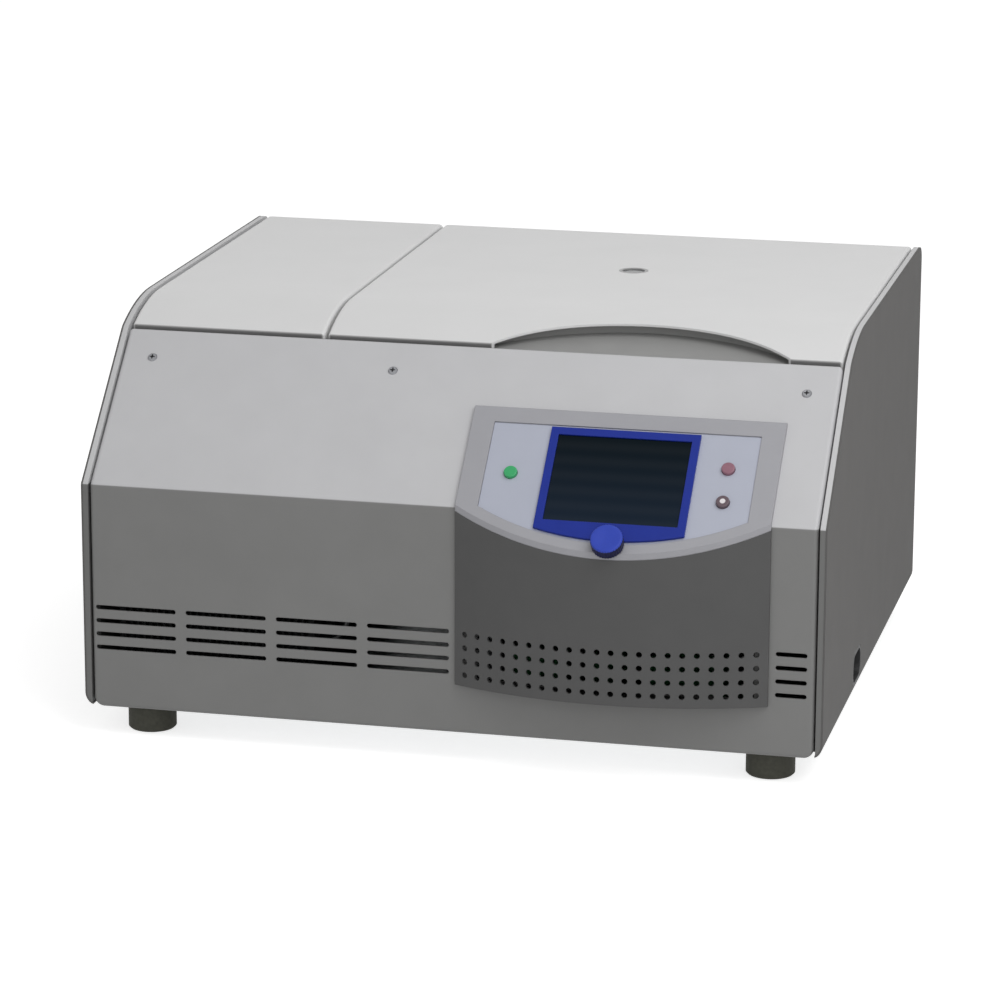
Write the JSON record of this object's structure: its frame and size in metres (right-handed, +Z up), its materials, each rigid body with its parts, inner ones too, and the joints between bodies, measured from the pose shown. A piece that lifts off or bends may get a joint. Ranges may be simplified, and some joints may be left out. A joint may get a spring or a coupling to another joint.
{
  "type": "refrigerated centrifuge",
  "caption": "Wide bench centrifuge with a sloping front, a bowed control housing, a hinged lid over a cooled swing-out rotor chamber, louvres and rubber feet.",
  "frame": {"origin": "on the floor, under the middle of the object's box", "axes": "+Z up, +X to the right seen from the front, +Y towards the rear"},
  "size_m": [0.63, 0.594, 0.3475],
  "materials": {
    "cover_paint": "satin light grey enamel",
    "front_paint": "textured two-tone enamel",
    "edge_paint": "satin light grey enamel",
    "dark_paint": "fine textured dark grey enamel",
    "zinc_steel": "zinc plated",
    "bright_steel": "turned and ground",
    "bowl_steel": "drawn stainless",
    "rotor_alloy": "anodised",
    "black_rubber": "matt",
    "foam": "closed-cell foam",
    "black_enamel": "gloss black",
    "finned_alloy": "mill finish",
    "copper": "drawn copper",
    "black_plastic": "fine textured",
    "green_board": "solder mask",
    "dark_plastic": "satin",
    "grey_plastic": "satin",
    "grip_plastic": "satin",
    "pale_film": "smooth printed film",
    "blue_plastic": "semi gloss",
    "knob_plastic": "satin",
    "screen": "glossy",
    "green_plastic": "translucent",
    "red_plastic": "translucent",
    "ring_plastic": "semi gloss",
    "liner_plastic": "moulded",
    "clear_plug": "clear acrylic"
  },
  "bodies": {
    "cabinet": {"base_tray": "zinc_steel", "feet": "black_rubber", "foot_screws": "bright_steel", "front_panel": "front_paint", "panel_screws": "bright_steel", "side_frames": "edge_paint", "side_panel_left": "dark_paint", "side_panel_right": "dark_paint", "rear_panel": "dark_paint", "top_cover_left": "cover_paint", "deck_plate": "zinc_steel", "chamber_tub": "zinc_steel", "chamber_insulation": "foam", "chamber_bowl": "bowl_steel", "evaporator_coil": "copper", "chamber_seal": "black_rubber", "motor_housing": "black_enamel", "motor_dampers": "black_rubber", "motor_bearings": "bright_steel", "spindle_seal": "black_rubber", "compressor": "black_enamel", "compressor_mounts": "black_rubber", "condenser": "finned_alloy", "fan_shroud": "black_plastic", "fan_motor": "black_enamel", "refrigerant_pipes": "copper", "power_board": "green_board", "mains_inlet": "black_plastic", "mains_switch_housing": "black_plastic", "control_grille": "dark_plastic", "control_frame": "grey_plastic", "control_fascia": "pale_film", "display_bezel": "blue_plastic", "display_screen": "screen", "control_board": "green_board", "hinge_brackets": "zinc_steel", "hinge_pins": "bright_steel", "lock_housing": "zinc_steel"},
    "lid": {"lid_shell": "cover_paint", "lid_foam": "foam", "lid_liner": "liner_plastic", "lid_grip": "grip_plastic", "port_window": "clear_plug", "port_ring": "black_plastic", "lid_hinge_leaves": "zinc_steel", "lid_strikers": "zinc_steel"},
    "rotor": {"drive_shaft": "bright_steel", "rotor_cross": "rotor_alloy", "rotor_nut": "rotor_alloy"},
    "fan": {"fan_blades": "black_plastic"},
    "knob": {"control_knob": "knob_plastic"},
    "start_key": {"start_button": "green_plastic"},
    "stop_key": {"stop_button": "red_plastic"},
    "lid_key": {"lid_button": "ring_plastic"},
    "rocker": {"mains_rocker": "black_plastic"},
    "lock_slider": {"lock_bar": "zinc_steel"},
    "swing_bucket_1": {"bucket_1": "rotor_alloy"},
    "swing_bucket_2": {"bucket_2": "rotor_alloy"},
    "swing_bucket_3": {"bucket_3": "rotor_alloy"},
    "swing_bucket_4": {"bucket_4": "rotor_alloy"}
  },
  "joints": [
    {"name": "lid_hinge", "type": "hinge", "parent": "cabinet", "child": "lid", "pos_m": [0, 0.28084, 0.333], "axis": [-1, 0, 0], "range_deg": [0, 75]},
    {"name": "rotor_spin", "type": "hinge", "parent": "cabinet", "child": "rotor", "pos_m": [0.081, 0.11334, 0.247], "axis": [0, 0, 1], "continuous": true},
    {"name": "bucket_swing_1", "type": "hinge", "parent": "rotor", "child": "swing_bucket_1", "pos_m": [0.143, 0.11334, 0.247], "axis": [0, -1, 0], "range_deg": [0, 90]},
    {"name": "bucket_swing_2", "type": "hinge", "parent": "rotor", "child": "swing_bucket_2", "pos_m": [0.081, 0.17534, 0.247], "axis": [1, 0, 0], "range_deg": [0, 90]},
    {"name": "bucket_swing_3", "type": "hinge", "parent": "rotor", "child": "swing_bucket_3", "pos_m": [0.019, 0.11334, 0.247], "axis": [0, 1, 0], "range_deg": [0, 90]},
    {"name": "bucket_swing_4", "type": "hinge", "parent": "rotor", "child": "swing_bucket_4", "pos_m": [0.081, 0.05134, 0.247], "axis": [-1, 0, 0], "range_deg": [0, 90]},
    {"name": "fan_spin", "type": "hinge", "parent": "cabinet", "child": "fan", "pos_m": [-0.2056, -0.17966, 0.1245], "axis": [0, 1, 0], "continuous": true},
    {"name": "knob_turn", "type": "hinge", "parent": "cabinet", "child": "knob", "pos_m": [0.1403, -0.28065, 0.20287], "axis": [0, -0.6835, 0.7299], "continuous": true},
    {"name": "start_press", "type": "slide", "parent": "cabinet", "child": "start_key", "axis": [0, 0.6835, -0.7299], "range_m": [0, 0.0015], "stiffness_N_per_m": 400, "springref_m": -0.001},
    {"name": "stop_press", "type": "slide", "parent": "cabinet", "child": "stop_key", "axis": [0, 0.6835, -0.7299], "range_m": [0, 0.0015], "stiffness_N_per_m": 400, "springref_m": -0.001},
    {"name": "lid_press", "type": "slide", "parent": "cabinet", "child": "lid_key", "axis": [0, 0.6835, -0.7299], "range_m": [0, 0.0015], "stiffness_N_per_m": 400, "springref_m": -0.001},
    {"name": "rocker_tip", "type": "hinge", "parent": "cabinet", "child": "rocker", "pos_m": [0.306, -0.06466, 0.05], "axis": [0, 0, -1], "range_deg": [0, 20]},
    {"name": "lock_slide", "type": "slide", "parent": "cabinet", "child": "lock_slider", "axis": [1, 0, 0], "range_m": [0, 0.008]}
  ],
  "couplings": [
    {"joint": "bucket_swing_2", "follows": "bucket_swing_1", "ratio": 1},
    {"joint": "bucket_swing_3", "follows": "bucket_swing_1", "ratio": 1},
    {"joint": "bucket_swing_4", "follows": "bucket_swing_1", "ratio": 1}
  ]
}
